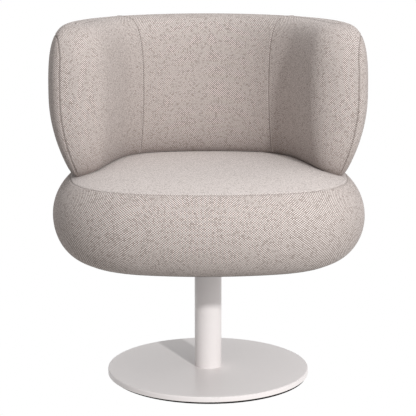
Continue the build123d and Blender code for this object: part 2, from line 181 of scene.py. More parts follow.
HEM_ANGLE = asin(1 - HEM_HEIGHT / SEAT_LOW)
SEAM_WAY = pi / 2 - SEAM_TURN
OUTER_SEAM_SHARE = (1 - (1 - OUTER_SEAM / OUTER_SHOULDER) ** SHOULDER_POWER) ** (1 / SHOULDER_POWER)


def length_along(points):
    """Length of the way along a line of points, at each of them."""
    steps = np.linalg.norm(np.diff(np.asarray(points), axis=0), axis=1)
    return np.concatenate([[0], np.cumsum(steps)])


# Form of the seat
def seat_arc(turn):
    """Centre and radius of the outline's arc whose normal points along turn."""
    quarter = turn % (2 * pi)
    sx = 1 if cos(quarter) >= 0 else -1
    sy = 1 if sin(quarter) >= 0 else -1
    first = atan2(abs(sin(quarter)), abs(cos(quarter)))
    if first <= SIDE_TURN:
        return sx * (SEAT_HALF_WIDTH - SIDE_RADIUS), 0, SIDE_RADIUS
    if first >= pi / 2 - FRONT_TURN:
        return 0, sy * (SEAT_HALF_DEPTH - FRONT_RADIUS), FRONT_RADIUS
    return sx * SEAT_CORNER_X, sy * SEAT_CORNER_Y, SEAT_CORNER


def outline_point(turn, inset):
    """Point of the plan whose normal points along turn, inside the outline by the inset."""
    x, y, radius = seat_arc(turn)
    return x + (radius - inset) * cos(turn), y + (radius - inset) * sin(turn)


def even_turns(count):
    """Turns that step evenly along a line inside the outline, and the length of that line."""
    fine = np.linspace(0, 2 * pi, OUTLINE_STEPS + 1)
    run = length_along([outline_point(t, OUTLINE_INSET) for t in fine])
    return np.interp(np.linspace(0, run[-1], count, endpoint=False), run, fine), run[-1]


def low_profile(a, out=0.0):
    """Inset and height on the edge below its widest level, moved out from its face."""
    length = hypot(cos(a) / SEAT_LOW_INSET, sin(a) / SEAT_LOW)
    inset = SEAT_LOW_INSET * (1 - cos(a)) - out * cos(a) / SEAT_LOW_INSET / length
    return inset, SEAT_MIDDLE - SEAT_LOW * sin(a) - out * sin(a) / SEAT_LOW / length


def high_profile(a):
    """Inset and height on the edge above its widest level."""
    return SEAT_HIGH_INSET * (1 - cos(a)), SEAT_MIDDLE + SEAT_HIGH * sin(a)


def crown_height(share):
    """Height of the top panel: share 0 at the seam, 1 where the crown is level."""
    return SEAM_Z + CROWN * (1 - (1 - np.clip(share, 0, 1)) ** CROWN_POWER)


def seat_inset(x, y):
    """How far a point of the plan lies inside the outline."""
    ax, ay = np.abs(x), np.abs(y)
    side = np.hypot(ax - (SEAT_HALF_WIDTH - SIDE_RADIUS), ay)
    front = np.hypot(ax, ay - (SEAT_HALF_DEPTH - FRONT_RADIUS))
    corner = np.hypot(ax - SEAT_CORNER_X, ay - SEAT_CORNER_Y)
    turn = np.arctan2(ay - SEAT_CORNER_Y, ax - SEAT_CORNER_X)
    in_corner = (turn > SIDE_TURN) & (turn < pi / 2 - FRONT_TURN)
    on_sides = np.minimum(SIDE_RADIUS - side, FRONT_RADIUS - front)
    return np.where(in_corner, SEAT_CORNER - corner, on_sides)


def seat_top(x, y):
    """Height of the seat's upper face over a point of the plan."""
    inset = seat_inset(x, y)
    across = 1 - np.clip(inset, 0, SEAM_INSET) / SEAT_HIGH_INSET
    edge = SEAT_MIDDLE + SEAT_HIGH * np.sqrt(np.maximum(0, 1 - across**2))
    return np.where(inset < SEAM_INSET, edge, crown_height((inset - SEAM_INSET) / CROWN_REACH))


# Form of the back
def back_level(share):
    """Height and sizes of a slice: share -1 at the foot, 0 at the widest level, 1 at the top."""
    low = share < 0
    bend_low = share**2
    top = np.clip(share, 0, 1)
    bend_top = 1 - (1 - top**SHOULDER_POWER) ** (1 / SHOULDER_POWER)
    height = BACK_WIDEST + share * np.where(low, BACK_WIDEST - BACK_FOOT, BACK_TOP - BACK_WIDEST)
    outer = OUTER_RADIUS - np.where(low, OUTER_DRAW * bend_low, OUTER_SHOULDER * bend_top)
    inner = INNER_RADIUS + np.where(low, INNER_DRAW * bend_low, INNER_SHOULDER * bend_top)
    front = NOSE_FRONT + np.where(low, NOSE_DRAW * bend_low, NOSE_SHOULDER * bend_top)
    return height, outer, inner, front


def tilted(x, y, height, share):
    """A point of a slice, on the plane that falls towards the front above the widest level."""
    fall = CREST_FALL * np.maximum(share, 0)
    return x, y * np.cos(fall), height + y * np.sin(fall)


def nose(outer, inner, front):
    """The two arcs of an arm's end: a small edge arc and a broad front arc."""
    edge = EDGE_SHARE * (outer - inner)
    meet_x, meet_y = sin(LEAN), -cos(LEAN)
    into_x, into_y = cos(SPLAY), sin(SPLAY)
    across = meet_x * into_x + meet_y * into_y
    low, high = (front + reach for reach in NOSE_SEARCH)
    for step in range(HALVINGS):
        edge_y = (low + high) / 2
        edge_x = np.sqrt((outer - edge) ** 2 - (edge_y - OUTER_Y) ** 2)
        reach = edge_x * into_x + (edge_y - INNER_Y) * into_y
        broad = (reach + edge * across - inner) / (1 + across)
        broad_x = edge_x - (broad - edge) * meet_x
        broad_y = edge_y - (broad - edge) * meet_y
        short = broad_y - broad < front
        low = np.where(short, edge_y, low)
        high = np.where(short, high, edge_y)
    return edge_x, edge_y, edge, broad_x, broad_y, broad


def column_turn(index, steps, seam, end, radius):
    """Turn of a column on an arc from the rear to its end, with close columns beside the upright seam."""
    near = BAND / radius
    first, last = seam + near, seam - near
    banded = REAR_STEPS + BAND_STEPS
    rear = pi / 2 + (first - pi / 2) * index / REAR_STEPS
    band = first - 2 * near * (index - REAR_STEPS) / BAND_STEPS
    rest = last + (end - last) * np.minimum((index - banded) / (steps - banded), 1)
    return np.where(index < REAR_STEPS, rear, np.where(index < banded, band, rest))


def outer_seam_way(outer):
    """Turn at which the upright seam's plane meets the outer arc, about that arc's centre."""
    return SEAM_WAY + np.arcsin((INNER_Y - OUTER_Y) * cos(SEAM_WAY) / outer)


def back_points(side, index, share, grow):
    """Points of a slice's right half, moved out by grow: index 0 at the rear, HALF at the arm's tip."""
    height, outer, inner, front = back_level(share)
    edge_x, edge_y, edge, broad_x, broad_y, broad = nose(outer, inner, front)
    if side == "outer":
        arc = HALF - EDGE_STEPS
        outer_turn = np.arctan2(edge_y - OUTER_Y, edge_x)
        a = column_turn(index, arc, outer_seam_way(outer), outer_turn, outer)
        e = np.clip((index - arc) / EDGE_STEPS, 0, 1)
        b = outer_turn + e * (-pi / 2 + LEAN - outer_turn)
        on_arc = index <= arc
        x = np.where(on_arc, (outer + grow) * np.cos(a), edge_x + (edge + grow) * np.cos(b))
        y = np.where(on_arc, OUTER_Y + (outer + grow) * np.sin(a), edge_y + (edge + grow) * np.sin(b))
    else:
        line = ARC_STEPS + LINE_STEPS
        a = column_turn(index, ARC_STEPS, SEAM_WAY, SPLAY, inner)
        end_x = broad_x - (broad + grow) * cos(SPLAY)
        end_y = broad_y - (broad + grow) * sin(SPLAY)
        t = np.clip((index - ARC_STEPS) / LINE_STEPS, 0, 1)
        line_x = (1 - t) * (inner - grow) * cos(SPLAY) + t * end_x
        line_y = (1 - t) * (INNER_Y + (inner - grow) * sin(SPLAY)) + t * end_y
        e = np.clip((index - line) / (HALF - line), 0, 1)
        b = pi + SPLAY + e * (pi / 2 - SPLAY + LEAN)
        x = np.where(index <= line, line_x, broad_x + (broad + grow) * np.cos(b))
        y = np.where(index <= line, line_y, broad_y + (broad + grow) * np.sin(b))
        x = np.where(index <= ARC_STEPS, (inner - grow) * np.cos(a), x)
        y = np.where(index <= ARC_STEPS, INNER_Y + (inner - grow) * np.sin(a), y)
    return tilted(x, y, height, share)


def outer_seam_radius(z):
    """Radius of the seam round the outer edge, on an arc from the foot to the widest level."""
    t = np.clip((z - BACK_FOOT) / (BACK_WIDEST - BACK_FOOT), 0, 1)
    low = OUTER_RADIUS - OUTER_DRAW - OUTER_SEAM_LOW
    middle = OUTER_RADIUS - OUTER_DRAW / 4 - OUTER_SEAM + OUTER_SEAM_BOW
    high = OUTER_RADIUS - OUTER_SEAM
    return low * (1 - t) * (1 - 2 * t) + middle * 4 * t * (1 - t) + high * t * (2 * t - 1)


# Meshes of rings of vertices
def new_mesh(name, points, faces, uvs):
    """An object made of points in millimetres, with its weave map."""
    mesh = bpy.data.meshes.new(name)
    mesh.from_pydata([tuple(p) for p in np.asarray(points) * MM], [], faces)
    layer = mesh.uv_layers.new(name="weave")
    flat = np.concatenate([np.asarray(u, dtype=float).ravel() for u in uvs]) * MM
    layer.data.foreach_set("uv", flat)
    mesh.polygons.foreach_set("use_smooth", np.ones(len(mesh.polygons), dtype=bool))
    obj = bpy.data.objects.new(name, mesh)
    scene.collection.objects.link(obj)
    return obj


def circle(radius, z, turns):
    """A ring of points round the column, one towards each of the outline's points at the turns."""
    ways = [atan2(*outline_point(t, OUTLINE_INSET)[::-1]) for t in turns]
    return [(radius * cos(way), radius * sin(way), z) for way in ways]


def quads(rows, count):
    """Faces between closed rings of vertices that start at the rows."""
    steps = [(k, (k + 1) % count) for k in range(count)]
    return [(a + k, a + n, b + n, b + k) for a, b in zip(rows[:-1], rows[1:]) for k, n in steps]


def wall_map(around, along):
    """Weave map of the faces between closed rings: lengths round a ring, and from ring to ring."""
    columns = list(zip(around[:-1], around[1:]))
    return [
        [(u0, v0), (u1, v0), (u1, v1), (u0, v1)]
        for v0, v1 in zip(along[:-1], along[1:])
        for u0, u1 in columns
    ]


def plan_map(points, faces):
    """Weave map of faces that are cut from flat cloth, seen in plan."""
    return [[(points[i][0], points[i][1]) for i in face] for face in faces]


def across_ring(first, count):
    """Faces that close a ring of vertices, straight across from one half to the other."""
    half = count // 2
    faces = [(first, first + 1, first + count - 1), (first + half - 1, first + half, first + half + 1)]
    for k in range(1, half - 1):
        faces.append((first + k, first + k + 1, first + count - k - 1, first + count - k))
    return faces


# Seat cushion and the cloth under it
def seat_profile():
    """Insets and heights from the hem to the seam, and from the seam over the crowned top."""
    hem = np.linspace(pi / 2, HEM_ANGLE + SEAT_HEM_STEP, HEM_ROWS)
    edge = [low_profile(a, -CLOTH - AIR) for a in hem]
    edge += [low_profile(a) for a in np.linspace(HEM_ANGLE, 0, LOW_EDGE_ROWS, endpoint=False)]
    beside = SEAM_ANGLE - BESIDE_SEAM_ANGLE
    edge += [high_profile(a) for a in np.linspace(0, beside, HIGH_EDGE_ROWS, endpoint=False)]
    edge += [high_profile(a) for a in np.linspace(beside, SEAM_ANGLE, SEAM_ROWS)]
    shares = np.linspace(0, BESIDE_SEAM_SHARE, SEAM_ROWS)[1:]
    shares = np.concatenate([shares, np.linspace(BESIDE_SEAM_SHARE, 1, CROWN_ROWS)[1:]])
    crown = [(SEAM_INSET + s * CROWN_REACH, crown_height(s)) for s in shares]
    return edge, crown


def build_seat():
    """The seat cushion, the points that the frame holds, and the seam's line."""
    turns, run = even_turns(SEAT_COLUMNS)
    edge, crown = seat_profile()
    pocket = (POCKET_TOP, SEAT_BOTTOM + CLOTH + AIR)
    points = [p for z in pocket for p in circle(POCKET_RADIUS, z, turns)]
    points += [(*outline_point(t, inset), z) for inset, z in edge + crown for t in turns]
    last_ring = points[-SEAT_COLUMNS:]
    for scale in np.linspace(1, 0, MIDDLE_ROWS + 2)[1:-1]:
        points += [(x * scale, y * scale, z) for x, y, z in last_ring]
    rows = list(range(0, len(points), SEAT_COLUMNS))
    seam_row = len(pocket) + len(edge) - 1
    faces = quads(rows[: seam_row + 1], SEAT_COLUMNS)
    around = [run * k / SEAT_COLUMNS for k in range(SEAT_COLUMNS + 1)]
    along = [POCKET_MAP - (z - SEAT_BOTTOM) for z in pocket] + list(length_along(edge))
    uvs = wall_map(around, along)
    flat = quads(rows[seam_row:], SEAT_COLUMNS) + across_ring(rows[-1], SEAT_COLUMNS)
    flat += [face[::-1] for face in across_ring(0, SEAT_COLUMNS)]
    held = list(range(rows[len(pocket) + HEM_ROWS + 1]))
    seam = points[rows[seam_row] : rows[seam_row + 1]]
    cushion = new_mesh("seat_cushion", points, faces + flat, uvs + plan_map(points, flat))
    return cushion, held, seam + seam[:1]


def build_under_cloth():
    """The thin cloth under the seat, with a hole for the column."""
    turns, run = even_turns(UNDER_CLOTH_COLUMNS)
    hem = np.linspace(pi / 2, HEM_ANGLE + UNDER_CLOTH_HEM_STEP, HEM_ROWS)
    profile = [low_profile(a) for a in hem] + [low_profile(a, -CLOTH) for a in hem[::-1]]
    upper = SEAT_BOTTOM + CLOTH
    points = circle(COLUMN_HOLE, SEAT_BOTTOM, turns) + circle(UNDER_CLOTH_FLAT, SEAT_BOTTOM, turns)
    points += [(*outline_point(t, inset), z) for inset, z in profile for t in turns]
    points += circle(UNDER_CLOTH_FLAT, upper, turns) + circle(COLUMN_HOLE, upper, turns)
    faces = quads([*range(0, len(points), UNDER_CLOTH_COLUMNS), 0], UNDER_CLOTH_COLUMNS)
    return new_mesh("seat_under_cloth", points, faces, plan_map(points, faces))


# Back cushion
def top_shares(count):
    """Shares of the back's height up to the top, closer together towards the top."""
    return 1 - np.linspace((1 - CLOSE_SHARE) ** 0.5, 0, count) ** 2


def back_run():
    """Shares from the foot to the top, and the run along the outer face at each."""
    low = np.linspace(LOWEST_SHARE, CLOSE_SHARE, RUN_STEPS, endpoint=False)
    shares = np.concatenate([low, top_shares(RUN_STEPS)])
    height, outer, inner, front = back_level(shares)
    return shares, length_along(np.column_stack([outer, height]))


def foot_shares(side, index):
    """Shares at which the columns of a side meet the seat."""
    low = np.full(HALF + 1, LOWEST_SHARE)
    high = np.full(HALF + 1, HIGHEST_FOOT_SHARE)
    for step in range(HALVINGS):
        share = (low + high) / 2
        x, y, z = back_points(side, index, share, 0.0)
        under = z < seat_top(x, y) + FOOT_GAP
        low = np.where(under, share, low)
        high = np.where(under, high, share)
    return high


def back_side(side):
    """Points of a side of the right half, in rows from the seat to the top, tucked in along the seat."""
    shares, run = back_run()
    index = np.arange(HALF + 1, dtype=float)
    foot = np.interp(foot_shares(side, index), shares, run)
    seam = np.interp(OUTER_SEAM_SHARE, shares, run)
    stretches = (
        (foot, seam - EDGE_BAND, LOW_ROWS),
        (seam - EDGE_BAND, seam + EDGE_BAND, EDGE_ROWS),
        (seam + EDGE_BAND, run[-1], TOP_ROWS),
    )
    levels = [low + (high - low) * row / rows for low, high, rows in stretches for row in range(rows)]
    grid = []
    for level in levels + [run[-1]]:
        above = level - foot
        tuck = np.where(above < TUCK_HEIGHT, TUCK * (1 - above / TUCK_HEIGHT) ** 2, 0)
        grid.append(back_points(side, index, np.interp(level, run, shares), -tuck))
    return np.array(grid)


def ring_order():
    """Columns round the whole cushion as side, sign of x and index, and each column's position."""
    ks = range(HALF + 1)
    order = [("outer", 1, k) for k in ks[::-1]] + [("outer", -1, k) for k in ks[1:]]
    order += [("inner", -1, k) for k in ks[:-1][::-1]] + [("inner", 1, k) for k in ks[1:-1]]
    place = {}
    for position, (side, sign, k) in enumerate(order):
        place[side, sign, k] = position
        if k == 0:
            place[side, -sign, k] = position
    for sign in (1, -1):
        place["inner", sign, HALF] = place["outer", sign, HALF]
    return order, place


def cap(points, base, place, steps, upward, height):
    """Faces that close a ring from its outer edge to its inner edge, whose points are added."""
    faces = []
    lines = {}
    for sign in (1, -1):
        for k in range(HALF):
            if k == 0 and sign == -1:
                lines[sign, 0] = lines[1, 0]
                continue
            outer = base + place["outer", sign, k]
            inner = base + place["inner", sign, k]
            start, end = np.array(points[outer]), np.array(points[inner])
            lines[sign, k] = [outer, *range(len(points), len(points) + steps - 1), inner]
            for step in range(1, steps):
                p = start + (end - start) * step / steps
                points.append((p[0], p[1], height(p)))
        lines[sign, HALF] = [base + place["outer", sign, HALF]] * (steps + 1)
        for k in range(HALF):
            for step in range(steps):
                a, b = lines[sign, k][step : step + 2]
                d, c = lines[sign, k + 1][step : step + 2]
                face = [a, b, c, d] if (sign == 1) != upward else [d, c, b, a]
                face = [v for j, v in enumerate(face) if v not in face[:j]]
                if len(face) > 2:
                    faces.append(tuple(face))
    return faces


def build_back():
    """The back cushion, and the points that lie on the seat."""
    sides = {side: back_side(side) for side in ("outer", "inner")}
    order, place = ring_order()
    points = []
    for row in range(BACK_ROWS + 1):
        for side, sign, k in order:
            x, y, z = sides[side][row][:, k]
            points.append((sign * x, y, z))
    count = len(order)
    rows = list(range(0, len(points), count))
    measured = rows[BACK_ROWS // 3]
    around = length_along(points[measured : measured + count] + [points[measured]])
    along = length_along([points[row + place["outer", 1, 0]] for row in rows])
    faces = quads(rows, count)
    first = len(points)
    caps = cap(points, 0, place, FOOT_CAP_STEPS, False, lambda p: float(seat_top(p[0], p[1])) + FOOT_GAP)
    held = list(range(rows[HELD_BACK_ROWS])) + list(range(first, len(points)))
    caps += cap(points, rows[-1], place, TOP_CAP_STEPS, True, lambda p: p[2])
    uvs = wall_map(around, along) + plan_map(points, caps)
    return new_mesh("back_cushion", points, faces + caps, uvs), held


def mirrored(line):
    """The same line on the other side of the chair."""
    return [(-x, y, z) for x, y, z in line]


def back_seams():
    """Lines of stitching on the back: upright seams over the top, and seams round the outer edge."""
    low = np.linspace(SEAM_FOOT_SHARE, CLOSE_SHARE, SEAM_STEPS)
    shares = np.concatenate([low, top_shares(SEAM_TOP_STEPS)])
    height, outer, inner, front = back_level(shares)
    inside = tilted(inner * cos(SEAM_WAY), INNER_Y + inner * sin(SEAM_WAY), height, shares)
    way = outer_seam_way(outer)
    outside = tilted(outer * np.cos(way), OUTER_Y + outer * np.sin(way), height, shares)
    upright = [tuple(p) for p in np.array(inside).T]
    for share, radius, p in zip(shares[::-1], outer[::-1], np.array(outside).T[::-1]):
        if share < 0 or radius > OUTER_RADIUS - OUTER_SEAM:
            break
        upright.append(tuple(p))
    edge = []
    index = np.arange(HALF * SEAM_FINENESS + 1) / SEAM_FINENESS
    for share in shares:
        x, y, z = back_points("outer", index, share, 0.0)
        beyond = np.nonzero(np.hypot(x, y - OUTER_Y) >= outer_seam_radius(z))[0]
        if not len(beyond):
            break
        slice_points = np.column_stack([x, y, z])
        edge.append(tuple(slice_points[beyond[-1]]))
    arc_end = (HALF - EDGE_STEPS) * SEAM_FINENESS
    edge += [tuple(p) for p in slice_points[arc_end::-SEAM_FINENESS]]
    return [upright, mirrored(upright)], [edge, mirrored(edge)]


# Upholstery: the covers swell against their filling, then the stitching draws them in
Seam = namedtuple("Seam", "lines depth width shade shine")


def tree_of(lines):
    """Nearest-point tree along lines of points, filled in closely."""
    dense = []
    for line in lines:
        for a, b in zip(line[:-1], line[1:]):
            a, b = np.array(a), np.array(b)
            steps = max(1, int(np.linalg.norm(b - a) / STITCH_FILL))
            dense += [a + (b - a) * s / steps for s in range(steps)]
        dense.append(np.array(line[-1]))
    tree = KDTree(len(dense))
    for i, p in enumerate(dense):
        tree.insert(Vector(p * MM), i)
    tree.balance()
    return tree


def coordinates(vertices):
    """Places of the vertices, one row each, in metres."""
    flat = np.zeros(len(vertices) * 3)
    vertices.foreach_get("co", flat)
    return flat.reshape(-1, 3)


def normals_of(mesh):
    """Normals at a mesh's vertices, one row each."""
    flat = np.zeros(len(mesh.vertices) * 3)
    mesh.vertex_normals.foreach_get("vector", flat)
    return flat.reshape(-1, 3)


def smoothed(mesh, values, fixed):
    """Values at the vertices, evened out along the edges and nothing at the fixed vertices."""
    edges = np.zeros(len(mesh.edges) * 2, dtype=int)
    mesh.edges.foreach_get("vertices", edges)
    ends = np.concatenate([edges.reshape(-1, 2), edges.reshape(-1, 2)[:, ::-1]])
    ways = np.bincount(ends[:, 0], minlength=len(values))
    for step in range(SMOOTHING_ROUNDS):
        values[fixed] = 0
        around = np.bincount(ends[:, 0], values[ends[:, 1]], len(values)) / ways
        values = (values + around) / 2
    values[fixed] = 0
    return values


def swell(obj, resting, lines):
    """Draws the cover in by its slack and lets the filling press it out again.
    It is held where it rests and along its lines of stitching."""
    mesh = obj.data
    full = coordinates(mesh.vertices)
    normals = normals_of(mesh)
    start = full - normals * SLACK * MM
    start[resting] = full[resting]
    tree = tree_of(lines)
    held = resting + [i for i, p in enumerate(full) if tree.find(p)[2] < SEWN_WIDTH * MM]
    mesh.vertices.foreach_set("co", start.ravel())
    mesh.update()
    obj.vertex_groups.new(name="held").add(held, 1.0, "REPLACE")
    cloth = obj.modifiers.new("cover", "CLOTH")
    cloth.settings.quality = 4
    cloth.settings.mass = 0.1
    cloth.settings.tension_stiffness = 2
    cloth.settings.compression_stiffness = 2
    cloth.settings.shear_stiffness = 1
    cloth.settings.bending_stiffness = 0.2
    cloth.settings.use_pressure = True
    cloth.settings.uniform_pressure_force = FILLING_PRESSURE
    cloth.settings.vertex_group_mass = "held"
    cloth.settings.effector_weights.gravity = 0
    cloth.point_cache.frame_start = 1
    cloth.point_cache.frame_end = SWELL_FRAMES
    for step in range(1, SWELL_FRAMES + 1):
        scene.frame_set(step)
    pressed = obj.evaluated_get(bpy.context.evaluated_depsgraph_get()).data
    moved = coordinates(pressed.vertices) - start
    obj.modifiers.clear()
    obj.vertex_groups.clear()
    scene.frame_set(1)
    swelling = np.clip((moved * normals).sum(axis=1), 0, SLACK * MM)
    swelling = smoothed(mesh, swelling, held)
    mesh.vertices.foreach_set("co", (start + normals * swelling[:, None]).ravel())
    mesh.update()


def refined(obj):
    """A copy of the mesh with one smooth subdivision."""
    modifier = obj.modifiers.new("refine", "SUBSURF")
    modifier.levels = modifier.render_levels = 1
    depsgraph = bpy.context.evaluated_depsgraph_get()
    mesh = bpy.data.meshes.new_from_object(obj.evaluated_get(depsgraph))
    obj.modifiers.clear()
    return mesh


def mark(mesh, name, values):
    """Keeps a value from 0 to 1 at each vertex, for the cover's material."""
    layer = mesh.attributes.new(name, "FLOAT", "POINT")
    layer.data.foreach_set("value", np.clip(values, 0, 1))


def press_seams(mesh, form, seams):
    """Presses a groove along each line of stitching, with a soft roll on both sides.
    Marks the groove for painted shade, and the rolled edge of the side panel for a painted highlight."""
    places = coordinates(mesh.vertices)
    normals = normals_of(mesh)
    side_panel = np.arctan2(form[:, 1] - INNER_Y * MM, np.abs(form[:, 0])) < SEAM_WAY
    painted_groove_shade = np.zeros(len(places))
    painted_edge_highlight = np.zeros(len(places))
    for seam in seams:
        tree = tree_of(seam.lines)
        distance = np.array([tree.find(p)[2] for p in form]) / MM
        groove = np.exp(-((distance / seam.width) ** 2))
        roll = np.exp(-(((distance - ROLL_AT * seam.width) / seam.width) ** 2))
        sunk = seam.depth * groove - ROLL_SHARE * seam.depth * roll
        places -= normals * (sunk * MM)[:, None]
        # Painted shade along the seam's groove
        painted_groove_shade += seam.shade * groove
        # Painted highlight on the side panel's edge beside the seam
        painted_edge_highlight += seam.shine * side_panel * np.exp(-(((distance - HIGHLIGHT_AT) / HIGHLIGHT_WIDTH) ** 2))
    mesh.vertices.foreach_set("co", places.ravel())
    mesh.update()
    mark(mesh, "painted_groove_shade", painted_groove_shade)
    mark(mesh, "painted_edge_highlight", painted_edge_highlight)


def upholster(obj, resting, seams):
    """Swells a cushion's cover, refines its mesh and presses its seams where its plain form has them."""
    form = refined(obj)
    swell(obj, resting, [line for seam in seams for line in seam.lines])
    plain_mesh = obj.data
    obj.data = refined(obj)
    obj.data.name = obj.name
    press_seams(obj.data, coordinates(form.vertices), seams)
    bpy.data.meshes.remove(plain_mesh)
    bpy.data.meshes.remove(form)


def paint_top_sheen(mesh):
    """Marks the seat's top panel for a painted sheen, which makes it lighter."""
    x, y, z = coordinates(mesh.vertices).T / MM
    inside = np.clip((seat_inset(x, y) - SEAM_INSET) / TOP_SHEEN_FADE, 0, 1)
    mark(mesh, "painted_top_sheen", np.where(z - seat_top(x, y) > -TOP_SHEEN_DEPTH, inside, 0))


def paint_crease_shade(mesh):
    """Marks the foot of the back for painted shade, darkest along the seat and fading upwards."""
    x, y, z = coordinates(mesh.vertices).T / MM
    mark(mesh, "painted_crease_shade", np.exp(-np.maximum(z - seat_top(x, y), 0) / CREASE_SHADE_FADE))


seat, seat_held, seat_seam = build_seat()
under_cloth = build_under_cloth()
back, back_held = build_back()
upright_seams, edge_seams = back_seams()
# A seam's shade paints shade in its groove
seat_stitching = [Seam([seat_seam], depth=0.9, width=1.7, shade=0.35, shine=0.0)]
back_stitching = [
    # The upright seams' highlight paints a highlight on the side panels' edges
    Seam(upright_seams, depth=1.2, width=1.6, shade=0.65, shine=0.6),
    Seam(edge_seams, depth=1.2, width=1.7, shade=0.6, shine=0.0),
]
upholster(seat, seat_held, seat_stitching)
upholster(back, back_held, back_stitching)
# Painted sheen on the seat's top panel
paint_top_sheen(seat.data)
# Painted shade at the foot of the back, where it meets the seat
paint_crease_shade(back.data)


# Shader sums
class Value:
    """A shader socket that takes part in sums."""

    def __init__(self, tree, socket):
        self.tree = tree
        self.socket = socket

    def node(self, kind, settings, inputs, out=0):
        return make_node(self.tree, kind, settings, inputs, out)

    def math(self, operation, *others, clamp=False):
        settings = {"operation": operation, "use_clamp": clamp}
        return self.node("ShaderNodeMath", settings, dict(enumerate((self, *others))))

    def __add__(self, other):
        return self.math("ADD", other)

    def __sub__(self, other):
        return self.math("SUBTRACT", other)

    def __rsub__(self, other):
        return self * -1 + other

    def __mul__(self, other):
        return self.math("MULTIPLY", other)

    def __truediv__(self, other):
        return self.math("DIVIDE", other)

    def __mod__(self, other):
        return self.math("FLOORED_MODULO", other)

    __radd__ = __add__
    __rmul__ = __mul__

    def floor(self):
        return self.math("FLOOR")

    def sine(self):
        return self.math("SINE")

    def clamp(self):
        return self.math("ADD", 0.0, clamp=True)


def make_node(tree, kind, settings, inputs, out=0):
    """A new node's output: its settings are set first, then the values or links of its sockets."""
    node = tree.nodes.new(kind)
    for key, value in settings.items():
        setattr(node, key, value)
    set_inputs(node, inputs)
    return Value(tree, node.outputs[out])


def set_inputs(node, inputs):
    """Links the values that come from sockets and sets the plain ones."""
    for key, value in inputs.items():
        if isinstance(value, Value):
            value.tree.links.new(value.socket, node.inputs[key])
        else:
            node.inputs[key].default_value = value


def set_sockets(shader, **values):
    """Sets a shader's sockets by their names, with _ for a space."""
    set_inputs(shader, {key.replace("_", " "): value for key, value in values.items()})


def mix_colour(factor, a, b):
    """Colour a where the factor is 0 and b where it is 1."""
    return factor.node("ShaderNodeMix", {"data_type": "RGBA"}, {0: factor, 6: a, 7: b}, 2)


def new_material(name):
    """A material, its nodes and its shader."""
    material = bpy.data.materials.new(name)
    material.use_nodes = True
    return material, material.node_tree, material.node_tree.nodes["Principled BSDF"]


def rgb(r, g, b):
    return (r, g, b, 1.0)


# Weave: the yarns' pitch in metres, how their noise is laid out, and what makes up their tone
COVER_PITCH = 0.0024
UNDER_CLOTH_PITCH = 0.0012
WARP_APART = 3.71
WEFT_APART = 3.37
WEFT_LAYER = 40.0
ALONG_YARN = 0.4
YARN_TONE = 0.7
CROSSING_TONE = 0.35
CROSSING_CHANCE = 0.9
CHANCE_TONE = 0.3
FLECK_CONTRAST = 1.6

# Colours of the cover, its painted shade and painted highlights, and how strongly they show
DARK_FLECK = rgb(0.225, 0.188, 0.168)
GREIGE_FLECK = rgb(0.515, 0.448, 0.419)
CREAM_FLECK = rgb(0.82, 0.745, 0.712)
BETWEEN_YARNS = rgb(0.26, 0.22, 0.20)
# Painted shade at the foot of the back
PAINTED_CREASE_SHADE = rgb(0.11, 0.08, 0.07)
# Painted sheen on the seat's top panel
PAINTED_TOP_SHEEN = rgb(0.95, 0.9, 0.88)
# Painted highlight beside the upright seams
PAINTED_EDGE_HIGHLIGHT = rgb(0.86, 0.79, 0.755)
# Painted shade in the seam grooves
PAINTED_GROOVE_SHADE = rgb(0.13, 0.105, 0.092)
YARN_GAP_SHARE = 0.22
CREASE_SHADE_SHARE = 0.58
TOP_SHEEN_SHARE = 0.2
FLECK_RELIEF = 0.5

# Colours of the cloth under the seat
DARK_DUST_CLOTH = rgb(0.08, 0.074, 0.07)
LIGHT_DUST_CLOTH = rgb(0.21, 0.195, 0.185)


def weave(tree, pitch):
    """Plain weave on the weave map: the tone of the yarn on top, and the swell of the yarns."""
    uv = make_node(tree, "ShaderNodeUVMap", {"uv_map": "weave"}, {})
    split = ("ShaderNodeSeparateXYZ", {}, {0: uv})
    u = make_node(tree, *split, 0) / pitch
    v = make_node(tree, *split, 1) / pitch
    column, row = u.floor(), v.floor()
    warp_over = (column + row) % 2
    warp_place = {0: column * WARP_APART, 1: v * ALONG_YARN, 2: 0.0}
    weft_place = {0: u * ALONG_YARN, 1: row * WEFT_APART, 2: WEFT_LAYER}
    warp_cell = make_node(tree, "ShaderNodeCombineXYZ", {}, warp_place)
    weft_cell = make_node(tree, "ShaderNodeCombineXYZ", {}, weft_place)
    noise = {"Scale": 1.0, "Detail": 1.0, "Roughness": 0.6}
    warp = make_node(tree, "ShaderNodeTexNoise", {}, {"Vector": warp_cell, **noise})
    weft = make_node(tree, "ShaderNodeTexNoise", {}, {"Vector": weft_cell, **noise})
    cell = make_node(tree, "ShaderNodeCombineXYZ", {}, {0: column, 1: row, 2: 0.0})
    chance = make_node(tree, "ShaderNodeTexWhiteNoise", {"noise_dimensions": "2D"}, {"Vector": cell})
    yarn = weft + (warp - weft) * warp_over
    crossing = (warp_over - 0.5) * (chance * CROSSING_CHANCE + CROSSING_TONE)
    tone = (yarn - 0.5) * YARN_TONE + crossing + (chance - 0.5) * CHANCE_TONE + 0.5
    dome = ((u % 1) * pi).sine() * ((v % 1) * pi).sine()
    return tone, dome


def bumped(height, strength, distance):
    """Normals of a relief whose full height is the distance."""
    sockets = {"Strength": strength, "Distance": distance, "Height": height}
    return height.node("ShaderNodeBump", {}, sockets)


def marked(tree, name):
    """What was marked on the mesh under that name."""
    return make_node(tree, "ShaderNodeAttribute", {"attribute_name": name}, {}, 2)


